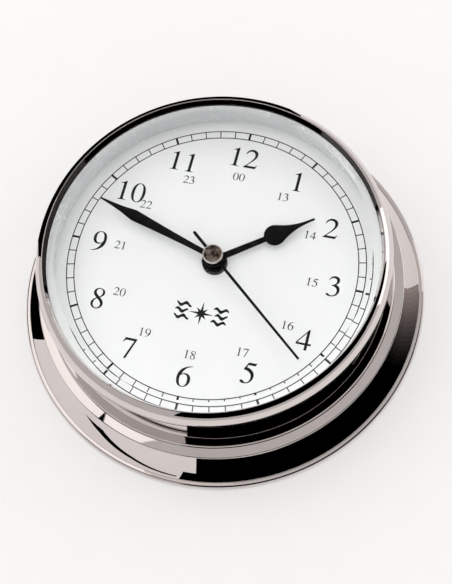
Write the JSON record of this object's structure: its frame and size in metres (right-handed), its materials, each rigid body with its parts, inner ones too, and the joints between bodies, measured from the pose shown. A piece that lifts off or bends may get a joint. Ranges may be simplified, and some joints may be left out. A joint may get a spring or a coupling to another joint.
{
  "type": "ships deck clock",
  "caption": "Round bulkhead clock in a flanged chrome case: white dial with minute track and 24-hour ring, black hands under bevelled glass, quartz movement behind, twist-off back plate.",
  "frame": {"origin": "centre of the back face, in the plane that lies against the bulkhead", "axes": "+Z out of the dial towards the reader, +Y to twelve o'clock, +X to three o'clock; the clock lies on its back"},
  "size_m": [0.14, 0.14, 0.0393],
  "materials": {
    "chrome_case": "polished",
    "chrome_bezel": "polished",
    "brass_plate": "satin",
    "brass_studs": "turned",
    "brass_ring": "satin",
    "steel_screws": "satin",
    "crystal_glass": "clear",
    "black_rubber": "matt",
    "white_ring": "matt",
    "dial_paint": "matt white",
    "black_metal": "semi-gloss black",
    "black_nut": "gloss black",
    "movement_plastic": "moulded",
    "cover_plastic": "moulded",
    "bridge_plastic": "moulded",
    "board": "solder mask",
    "chip_black": "potted",
    "can_steel": "satin",
    "copper_wire": "enamelled",
    "soft_iron": "satin",
    "cell_jacket": "printed",
    "spring_steel": "bright",
    "magnet": "sintered",
    "wheel_plastic": "moulded",
    "brass_pinion": "cut",
    "pewter_cap": "spun",
    "knob_plastic": "moulded"
  },
  "bodies": {
    "fixing_plate": {"mounting_plate": "brass_plate", "mounting_studs": "brass_studs"},
    "case": {"bayonet_ring": "brass_ring", "bayonet_ring_screws": "steel_screws", "case_shell": "chrome_case", "bezel": "chrome_bezel", "crystal": "crystal_glass", "crystal_gasket": "black_rubber", "reflector_ring": "white_ring", "dial": "dial_paint", "dial_pad": "black_rubber", "centre_nut": "black_nut", "movement_case": "movement_plastic", "movement_cover": "cover_plastic", "movement_screws": "steel_screws", "bridge_plate": "bridge_plastic", "circuit_board": "board", "timing_chip": "chip_black", "quartz_can": "can_steel", "coil": "copper_wire", "coil_core": "soft_iron", "stator": "soft_iron", "battery": "cell_jacket", "positive_contact": "spring_steel", "negative_contact": "spring_steel"},
    "seconds_arbor": {"seconds_wheel": "wheel_plastic", "second_hand": "black_metal", "second_hand_cap": "pewter_cap"},
    "rotor": {"rotor_magnet": "magnet", "rotor_pinion": "wheel_plastic"},
    "intermediate": {"intermediate_wheel": "wheel_plastic"},
    "third": {"third_wheel": "wheel_plastic"},
    "centre": {"centre_wheel": "wheel_plastic"},
    "minute_arbor": {"cannon_pinion": "brass_pinion", "friction_spring": "spring_steel", "minute_hand": "black_metal"},
    "minute_work": {"minute_work_wheel": "wheel_plastic"},
    "hour_arbor": {"hour_wheel": "wheel_plastic", "hour_hand": "black_metal"},
    "setter": {"setting_shaft": "wheel_plastic", "setting_knob": "knob_plastic"}
  },
  "joints": [
    {"name": "case_twist", "type": "hinge", "parent": "fixing_plate", "child": "case", "pos_m": [0, 0, 0.0036], "axis": [0, 0, 1], "range_deg": [0, 18]},
    {"name": "seconds_turn", "type": "hinge", "parent": "case", "child": "seconds_arbor", "pos_m": [0, 0, 0.0106], "axis": [0, 0, 1], "continuous": true},
    {"name": "rotor_turn", "type": "hinge", "parent": "case", "child": "rotor", "pos_m": [0.004, 0.01618, 0.012], "axis": [0, 0, 1], "continuous": true},
    {"name": "intermediate_turn", "type": "hinge", "parent": "case", "child": "intermediate", "pos_m": [0.00525, 0.00909, 0.012], "axis": [0, 0, 1], "continuous": true},
    {"name": "third_turn", "type": "hinge", "parent": "case", "child": "third", "pos_m": [-0.00957, 0.00553, 0.0135], "axis": [0, 0, 1], "continuous": true},
    {"name": "centre_turn", "type": "hinge", "parent": "case", "child": "centre", "pos_m": [0, 0, 0.0158], "axis": [0, 0, 1], "continuous": true},
    {"name": "minute_turn", "type": "hinge", "parent": "case", "child": "minute_arbor", "pos_m": [0, 0, 0.019], "axis": [0, 0, 1], "continuous": true},
    {"name": "minute_work_turn", "type": "hinge", "parent": "case", "child": "minute_work", "pos_m": [0.00767, -0.00279, 0.0194], "axis": [0, 0, 1], "continuous": true},
    {"name": "hour_turn", "type": "hinge", "parent": "case", "child": "hour_arbor", "pos_m": [0, 0, 0.021], "axis": [0, 0, 1], "continuous": true},
    {"name": "setter_turn", "type": "hinge", "parent": "case", "child": "setter", "pos_m": [0.01473, 0.00129, 0.012], "axis": [0, 0, 1], "continuous": true}
  ],
  "couplings": [
    {"joint": "rotor_turn", "follows": "seconds_turn", "ratio": 30},
    {"joint": "intermediate_turn", "follows": "seconds_turn", "ratio": -6},
    {"joint": "third_turn", "follows": "seconds_turn", "ratio": -0.13333},
    {"joint": "centre_turn", "follows": "seconds_turn", "ratio": 0.016667},
    {"joint": "minute_work_turn", "follows": "minute_turn", "ratio": -0.33333},
    {"joint": "hour_turn", "follows": "minute_turn", "ratio": 0.083333},
    {"joint": "setter_turn", "follows": "minute_turn", "ratio": 1}
  ]
}
